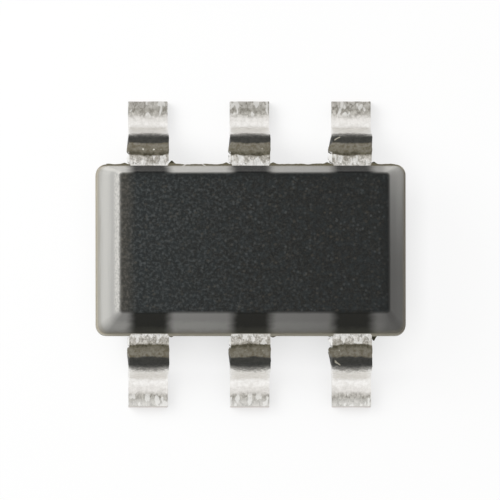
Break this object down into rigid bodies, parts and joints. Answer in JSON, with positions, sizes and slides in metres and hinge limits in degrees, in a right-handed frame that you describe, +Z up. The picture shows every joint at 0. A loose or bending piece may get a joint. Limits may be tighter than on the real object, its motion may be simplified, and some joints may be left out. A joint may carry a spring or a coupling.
{
  "type": "battery charger chip",
  "caption": "Small black moulded chip with gull-wing leads on its two long sides, for charging a lithium cell, soldered flat on a circuit board.",
  "frame": {"origin": "on the board surface, under the middle of the body", "axes": "+X along the body's long side, +Y across it towards leads 4, 5 and 6, +Z up from the board"},
  "size_m": [0.0028, 0.0028, 0.0012],
  "materials": {
    "moulding_compound": "matt, fine grained",
    "tinned_lead": "matt tin plating on copper",
    "die_glue": "silver-filled, dull",
    "silicon": "polished",
    "bond_wire": "drawn gold"
  },
  "bodies": {
    "root": {"mould_body": "moulding_compound", "lead_1": "tinned_lead", "lead_2_and_paddle": "tinned_lead", "lead_3": "tinned_lead", "lead_4": "tinned_lead", "lead_5": "tinned_lead", "lead_6": "tinned_lead", "die_attach": "die_glue", "silicon_die": "silicon", "bond_wire_1": "bond_wire", "bond_wire_2": "bond_wire", "bond_wire_3a": "bond_wire", "bond_wire_3b": "bond_wire", "bond_wire_4a": "bond_wire", "bond_wire_4b": "bond_wire", "bond_wire_5": "bond_wire", "bond_wire_6": "bond_wire"}
  },
  "joints": []
}
